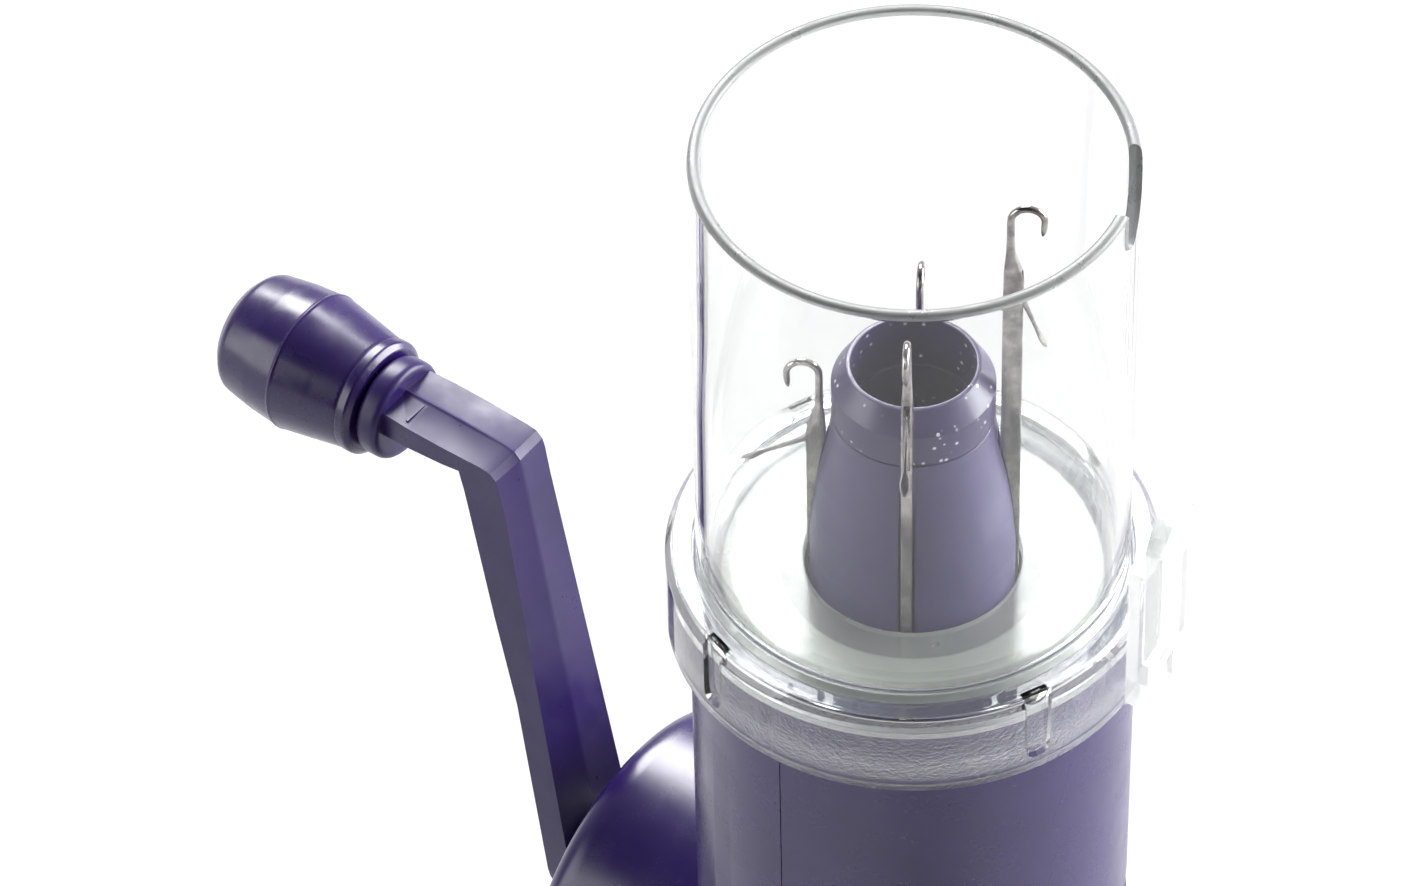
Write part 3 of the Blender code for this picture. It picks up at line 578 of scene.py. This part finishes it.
def needles():
    for n, (az, rest) in enumerate(zip(NEEDLE_AZ, LATCH_REST), 1):
        place = round_at(az, 0, HOOK_TOP + lift(az))
        pivot = place @ Matrix.Translation((RIVET_R, 0, -RIVET_DROP))
        blade = needle_bmesh()
        blade.transform(place)
        piece(f"blade_{n}", blade, [NICKEL], f"needle_{n}", [f"needle_{n}"], 40,
              0.08)
        latch = latch_bmesh()
        latch.transform(pivot @ Matrix.Rotation(math.radians(rest), 4, "Y"))
        piece(f"tongue_{n}", latch, [NICKEL], f"latch_{n}", [f"latch_{n}"], 40)
        pin = turned([(0, -0.62), (0.3, -0.62, 0.06), (0.3, 0.62, 0.06), (0, 0.62)], 24, "Z",
                     (0, 0, 0))
        pin.transform(pivot @ Matrix.Rotation(math.pi / 2, 4, "X"))
        piece(f"pin_{n}", pin, [NICKEL], f"needle_{n}", [f"latch_rivet_{n}"], 40)


body()
crank()
clear_parts()
drum()
needles()

KEPT = {ZINC: [f"body_screw_{i}" for i in range(1, 5)] + [f"cover_screw_{i}" for i in (1, 2, 3)]
        + ["bearing_plate", "drum_clip", "shaft_clip", "crank_screw"],
        NICKEL: ["crank_shaft", "knob_axle"],
        ACETAL: ["cam_ring_lower", "cam_ring_upper", "thrust_washer", "crown_gear",
                 "drive_pinion", "shaft_bush"]}
for mat, names in KEPT.items():
    for name in names:
        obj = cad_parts[name]
        for held in obj.material_slots:
            held.material = mat


# ---- floor, light, camera ------------------------------------------------------------
def stage():
    """Pale floor, a soft dome darker towards the viewer, and three area lamps."""
    bm = bmesh.new()
    bmesh.ops.create_grid(bm, x_segments=8, y_segments=8, size=1500)
    mat, tree, bsdf = nodes_of("pale_floor")
    coords = node(tree, "ShaderNodeTexCoord").outputs["Object"]
    tone = blend(tree, ramp(tree, noise(tree, coords, 3, 2), 0, 1), (0.63,) * 3, (0.65,) * 3)
    tree.links.new(tone, bsdf.inputs["Base Color"])
    bsdf.inputs["Roughness"].default_value = 0.9
    floor = piece("floor", bm, [mat])
    floor.location.z = -0.0002
    world = bpy.data.worlds.new("studio")
    world.use_nodes = True
    tree = world.node_tree
    dark_side = (VIEW_TURN @ Vector((-0.45, -0.75, 0.48))).normalized()
    way = node(tree, "ShaderNodeTexCoord").outputs["Generated"]
    toward = node(tree, "ShaderNodeVectorMath", operation="DOT_PRODUCT")
    tree.links.new(way, toward.inputs[0])
    toward.inputs[1].default_value = dark_side
    back = tree.nodes["Background"]
    back.inputs[0].default_value = (1, 1, 1, 1)
    tree.links.new(ramp(tree, toward.outputs["Value"], 0.62, 0.06, -0.1, 0.7), back.inputs[1])
    bpy.context.scene.world = world
    lamps = (("right", VIEW_TURN @ Vector((1.10, 0.22, 0.30)), 0.9, 30.0),
             ("left", VIEW_TURN @ Vector((-1.1, -0.30, 0.45)), 0.8, 5.5),
             ("behind", VIEW_TURN @ Vector((-0.10, 0.95, 0.98)), 0.62, 20.0))
    for name, spot, size, power in lamps:
        light = bpy.data.lights.new(name, "AREA")
        light.shape, light.size, light.energy = "SQUARE", size, power
        obj = bpy.data.objects.new(name, light)
        obj.location = spot
        aim = Vector((0.02, 0, 0.14)) - spot
        obj.rotation_euler = aim.to_track_quat("-Z", "Y").to_euler()
        bpy.context.scene.collection.objects.link(obj)


def camera():
    """Long lens, 45.6 degrees above the table and 38 degrees round from the front."""
    tilt, roll, distance = math.radians(45.584), -0.023, 802.4
    ahead = VIEW_TURN @ Vector((0, math.cos(tilt), -math.sin(tilt)))
    right = VIEW_TURN @ Vector((1, 0, 0))
    up = right.cross(ahead)
    across = right * math.cos(roll) + up * math.sin(roll)
    rise = up * math.cos(roll) - right * math.sin(roll)
    target = Vector((AXIS_X, 0, RIM - 20))
    spot = target - ahead * distance - across * 21.10 - rise * 14.26
    data = bpy.data.cameras.new("camera")
    data.lens, data.sensor_width, data.sensor_fit = 204.7, 36.0, "HORIZONTAL"
    data.clip_start, data.clip_end = 0.05, 20
    obj = bpy.data.objects.new("camera", data)
    rotation = Matrix((across, rise, -ahead)).transposed().to_4x4()
    obj.matrix_world = Matrix.Translation(spot * MM) @ rotation
    bpy.context.scene.collection.objects.link(obj)
    bpy.context.scene.camera = obj


stage()
camera()
bpy.context.scene.view_settings.view_transform = "Standard"
